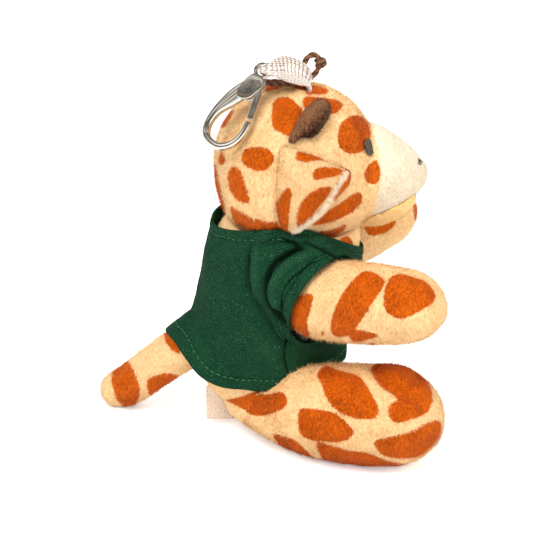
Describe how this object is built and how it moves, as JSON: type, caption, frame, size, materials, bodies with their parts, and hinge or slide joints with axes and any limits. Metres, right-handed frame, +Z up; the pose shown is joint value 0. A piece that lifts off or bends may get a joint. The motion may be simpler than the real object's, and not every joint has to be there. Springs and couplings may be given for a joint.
{
  "type": "plush giraffe",
  "caption": "Small seated stuffed giraffe in a knitted short-sleeved shirt, hung by a lobster clasp from a cotton tape on its head; arms, ears, clasp and clasp gate move.",
  "frame": {"origin": "middle of the footprint's bounding box, on the floor that the seated toy rests on", "axes": "+X the way the giraffe faces, +Y its left, +Z up"},
  "size_m": [0.1066, 0.118, 0.1195],
  "materials": {
    "head_plush": "short pile plush, cream yellow with orange brown patches",
    "torso_plush": "short pile plush, cream yellow with orange brown patches",
    "muzzle_plush": "smooth short pile plush, cream",
    "jaw_plush": "short pile plush, cream yellow with orange brown patches",
    "leg_right_plush": "short pile plush, cream yellow with orange brown patches",
    "leg_left_plush": "short pile plush, cream yellow with orange brown patches",
    "arm_right_plush": "short pile plush, cream yellow with orange brown patches",
    "arm_left_plush": "short pile plush, cream yellow with orange brown patches",
    "tail_plush": "short pile plush, cream yellow with orange brown patches",
    "shirt_knit": "jersey knit, dark green",
    "sleeve_right_knit": "jersey knit, dark green",
    "sleeve_left_knit": "jersey knit, dark green",
    "ear_right_plush": "short pile plush, cream yellow with orange brown patches",
    "ear_left_plush": "short pile plush, cream yellow with orange brown patches",
    "horn_right_plush": "short pile plush, dark brown",
    "horn_left_plush": "short pile plush, dark brown",
    "eye_right_thread": "satin stitch embroidery, dark grey",
    "eye_left_thread": "satin stitch embroidery, dark grey",
    "label_tape": "woven herringbone cotton tape, beige",
    "clasp_body_metal": "polished nickel plate",
    "clasp_gate_metal": "polished nickel plate",
    "clasp_rivet_metal": "polished nickel plate",
    "clasp_spring_metal": "polished nickel plate",
    "hanging_tape_cotton": "woven herringbone cotton tape, beige",
    "string_knot_twine": "twisted cord, brown",
    "hang_string_twine": "twisted cord, brown"
  },
  "bodies": {
    "body": {"head": "head_plush", "torso": "torso_plush", "muzzle": "muzzle_plush", "jaw": "jaw_plush", "leg_right": "leg_right_plush", "leg_left": "leg_left_plush", "tail": "tail_plush", "shirt_body": "shirt_knit", "sleeve_right": "sleeve_right_knit", "sleeve_left": "sleeve_left_knit", "horn_right": "horn_right_plush", "horn_left": "horn_left_plush", "eye_right": "eye_right_thread", "eye_left": "eye_left_thread", "label": "label_tape", "hanging_tape": "hanging_tape_cotton", "string_knot": "string_knot_twine", "hang_string": "hang_string_twine"},
    "right_arm": {"arm_right": "arm_right_plush"},
    "left_arm": {"arm_left": "arm_left_plush"},
    "right_ear": {"ear_right": "ear_right_plush"},
    "left_ear": {"ear_left": "ear_left_plush"},
    "clasp": {"clasp_body": "clasp_body_metal", "clasp_rivet": "clasp_rivet_metal", "clasp_spring": "clasp_spring_metal"},
    "gate": {"clasp_gate": "clasp_gate_metal"}
  },
  "joints": [
    {"name": "arm_right_swing", "type": "hinge", "parent": "body", "child": "right_arm", "pos_m": [0.01036, -0.02788, 0.04807], "axis": [-0.6691, -0.7431, 0], "range_deg": [-10, 10], "stiffness_Nm_per_rad": 0.05, "deforming": ["sleeve_right"]},
    {"name": "arm_left_swing", "type": "hinge", "parent": "body", "child": "left_arm", "pos_m": [0.01266, 0.01019, 0.05016], "axis": [0.1045, -0.9945, 0], "range_deg": [-9, 5], "stiffness_Nm_per_rad": 0.05, "deforming": ["sleeve_left"]},
    {"name": "ear_right_lift", "type": "hinge", "parent": "body", "child": "right_ear", "pos_m": [-0.00172, -0.03136, 0.0834], "axis": [0, 0, -1], "range_deg": [0, 50], "stiffness_Nm_per_rad": 0.001},
    {"name": "ear_left_lift", "type": "hinge", "parent": "body", "child": "left_ear", "pos_m": [-0.00172, 0.01652, 0.0834], "axis": [0, 0, 1], "range_deg": [0, 50], "stiffness_Nm_per_rad": 0.001},
    {"name": "clasp_swing", "type": "hinge", "parent": "body", "child": "clasp", "pos_m": [-0.00382, -0.01652, 0.1158], "axis": [0.3766, 0.8075, -0.454], "range_deg": [0, 100]},
    {"name": "gate_turn", "type": "hinge", "parent": "clasp", "child": "gate", "pos_m": [-0.00482, -0.01821, 0.11197], "axis": [0.3766, 0.8075, -0.454], "range_deg": [0, 22], "stiffness_Nm_per_rad": 0.00005, "springref_deg": -17.19}
  ]
}
